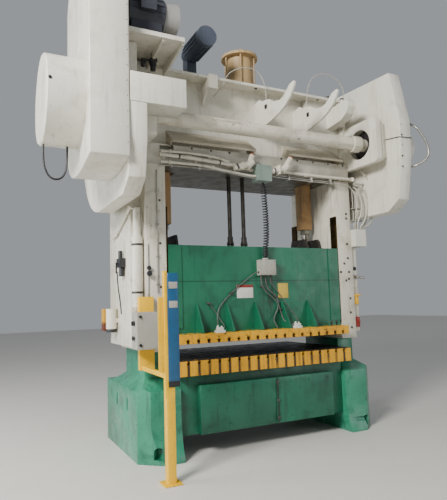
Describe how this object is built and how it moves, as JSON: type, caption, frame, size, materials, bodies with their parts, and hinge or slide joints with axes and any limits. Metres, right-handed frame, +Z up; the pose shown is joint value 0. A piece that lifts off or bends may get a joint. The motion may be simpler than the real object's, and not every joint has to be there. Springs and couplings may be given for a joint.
{
  "type": "mechanical stamping press",
  "caption": "Straight-side mechanical stamping press with green ram and bed, slotted yellow bolster, white crown, exposed back shaft and drive guards.",
  "frame": {"origin": "on the floor, centred between the four floor bolts of the two legs", "axes": "+X along the bed to the right seen from the front, +Y from the front to the back, +Z up"},
  "size_m": [4.65, 2.2, 5.05],
  "materials": {
    "black_plastic": "matt",
    "black_rubber": "matt",
    "blue_paint": "satin",
    "bronze": "oily",
    "brown_steel": "rusty",
    "cream_paint": "worn gloss",
    "gray_paint": "satin",
    "green_paint": "worn gloss",
    "iron": "rough, oily",
    "motor_paint": "matt",
    "steel": "machined and oiled",
    "tan_paint": "matt",
    "yellow_paint": "worn gloss"
  },
  "bodies": {
    "frame": {"bed": "green_paint", "left_leg": "green_paint", "right_leg": "green_paint", "bolster": "yellow_paint", "left_upright": "cream_paint", "right_upright": "cream_paint", "crown": "cream_paint", "tie_rods": "iron", "gibs": "bronze", "main_bearings": "iron", "left_bearing_housing": "cream_paint", "right_bearing_housing": "cream_paint", "left_gear_guard": "cream_paint", "right_gear_guard": "cream_paint", "end_cap": "cream_paint", "flywheel_guard": "cream_paint", "clutch_drum": "cream_paint", "shaft_cover": "cream_paint", "motor_shelf": "cream_paint", "main_motor": "motor_paint", "drive_belts": "black_rubber", "adjusting_motor": "motor_paint", "counterbalance_cylinder": "tan_paint", "grease_tubes": "cream_paint", "hook_plates": "cream_paint", "crown_panels": "cream_paint", "oil_reservoir": "cream_paint", "crown_pipes": "cream_paint", "junction_boxes": "gray_paint", "curly_cable": "black_rubber", "clutch_hose": "black_rubber", "side_tank": "cream_paint", "valve_group": "gray_paint", "guard_post": "yellow_paint", "light_curtain": "blue_paint", "control_box": "gray_paint"},
    "ram": {"ram": "green_paint", "ram_slotted_plate": "yellow_paint", "ram_saddles": "iron", "ram_junction_box": "gray_paint", "counterbalance_rods": "iron"},
    "crank": {"crankshaft": "steel", "left_bull_gear": "iron", "right_bull_gear": "iron"},
    "left_connection": {"left_pitman": "brown_steel"},
    "right_connection": {"right_pitman": "brown_steel"},
    "left_screw": {"left_adjusting_screw": "steel"},
    "right_screw": {"right_adjusting_screw": "steel"},
    "drive_shaft": {"back_shaft": "cream_paint", "left_pinion": "steel", "right_pinion": "steel", "clutch_disc": "iron"},
    "wheel": {"flywheel": "iron"},
    "motor_rotor": {"motor_pulley": "iron"},
    "box_door": {"control_box_door": "gray_paint"},
    "high_latch": {"upper_latch": "black_plastic"},
    "low_latch": {"lower_latch": "black_plastic"},
    "button": {"box_button": "black_plastic"},
    "selector": {"box_selector": "black_plastic"},
    "valve_lever": {"valve_handle": "brown_steel"}
  },
  "joints": [
    {"name": "ram_stroke", "type": "slide", "parent": "frame", "child": "ram", "axis": [0, 0, 1], "range_m": [-0.05, 0.2], "deforming": ["curly_cable"]},
    {"name": "crank_turn", "type": "hinge", "parent": "frame", "child": "crank", "pos_m": [0, 0, 3.565], "axis": [1, 0, 0], "continuous": true},
    {"name": "left_connection_turn", "type": "hinge", "parent": "crank", "child": "left_connection", "pos_m": [-1.02, 0, 3.465], "axis": [1, 0, 0], "continuous": true},
    {"name": "right_connection_turn", "type": "hinge", "parent": "crank", "child": "right_connection", "pos_m": [1.02, 0, 3.465], "axis": [1, 0, 0], "continuous": true},
    {"name": "left_screw_turn", "type": "hinge", "parent": "left_connection", "child": "left_screw", "pos_m": [-1.02, 0, 2.4], "axis": [0, 0, 1], "range_deg": [-1800, 1800]},
    {"name": "right_screw_turn", "type": "hinge", "parent": "right_connection", "child": "right_screw", "pos_m": [1.02, 0, 2.4], "axis": [0, 0, 1], "range_deg": [-1800, 1800]},
    {"name": "back_shaft_turn", "type": "hinge", "parent": "frame", "child": "drive_shaft", "pos_m": [0, -0.75, 3.565], "axis": [1, 0, 0], "continuous": true},
    {"name": "flywheel_turn", "type": "hinge", "parent": "frame", "child": "wheel", "pos_m": [-1.96, -0.75, 3.565], "axis": [1, 0, 0], "continuous": true},
    {"name": "motor_turn", "type": "hinge", "parent": "frame", "child": "motor_rotor", "pos_m": [-1.96, -0.85, 4.59], "axis": [1, 0, 0], "continuous": true},
    {"name": "box_door_swing", "type": "hinge", "parent": "frame", "child": "box_door", "pos_m": [-1.363, -0.74, 1.34], "axis": [0, 0, 1], "range_deg": [0, 110]},
    {"name": "high_latch_turn", "type": "hinge", "parent": "box_door", "child": "high_latch", "pos_m": [-1.55, -0.76, 1.48], "axis": [0, 1, 0], "range_deg": [0, 90]},
    {"name": "low_latch_turn", "type": "hinge", "parent": "box_door", "child": "low_latch", "pos_m": [-1.55, -0.76, 1.2], "axis": [0, 1, 0], "range_deg": [0, 90]},
    {"name": "button_press", "type": "slide", "parent": "frame", "child": "button", "axis": [1, 0, 0], "range_m": [0, 0.005], "stiffness_N_per_m": 600, "springref_m": -0.002},
    {"name": "selector_turn", "type": "hinge", "parent": "frame", "child": "selector", "pos_m": [-1.58, -0.66, 1.414], "axis": [1, 0, 0], "range_deg": [-45, 45]},
    {"name": "valve_handle_turn", "type": "hinge", "parent": "frame", "child": "valve_lever", "pos_m": [-1.59, -0.08, 2.06], "axis": [1, 0, 0], "range_deg": [0, 90]}
  ],
  "couplings": [
    {"joint": "left_connection_turn", "follows": "crank_turn", "ratio": -1},
    {"joint": "right_connection_turn", "follows": "crank_turn", "ratio": -1},
    {"joint": "back_shaft_turn", "follows": "crank_turn", "ratio": -4.3571},
    {"joint": "motor_turn", "follows": "flywheel_turn", "ratio": 3.5},
    {"joint": "right_screw_turn", "follows": "left_screw_turn", "ratio": 1}
  ]
}
